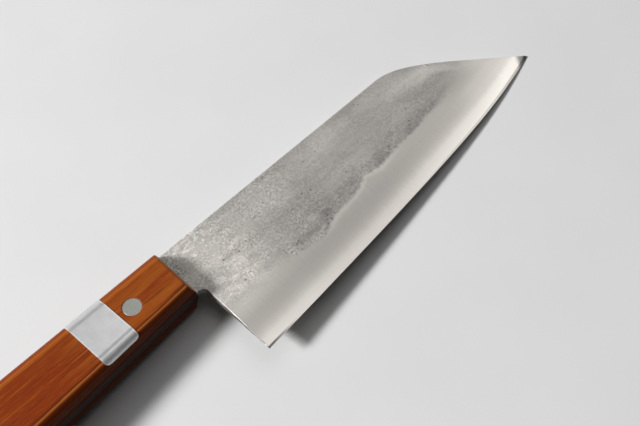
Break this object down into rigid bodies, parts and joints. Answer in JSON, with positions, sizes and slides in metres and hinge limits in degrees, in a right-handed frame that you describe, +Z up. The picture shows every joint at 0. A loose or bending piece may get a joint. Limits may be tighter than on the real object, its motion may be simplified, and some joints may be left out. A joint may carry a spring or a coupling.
{
  "type": "santoku knife",
  "caption": "Santoku kitchen knife: convex-ground laminated blade with a dropped tip, full tang between riveted wooden scales, blank foil label on the handle.",
  "frame": {"origin": "on the surface that the knife's left scale lies on, under the middle of the knife's box", "axes": "+X towards the tip, +Y towards the spine, +Z up, out of the knife's right side"},
  "size_m": [0.2898, 0.052, 0.0172],
  "materials": {
    "core_steel": "fine satin, bright along the edge",
    "cladding": "satin bevel below, pear-skin flat above",
    "wood": "smooth, lightly waxed, grain along the handle",
    "rivet": "satin, ground flush",
    "label": "blank satin foil"
  },
  "bodies": {
    "root": {"core_steel": "core_steel", "cladding_right": "cladding", "cladding_left": "cladding", "scale_right": "wood", "scale_left": "wood", "rivet_front_tube": "rivet", "rivet_front_pin": "rivet", "rivet_rear_tube": "rivet", "rivet_rear_pin": "rivet", "label": "label"}
  },
  "joints": []
}
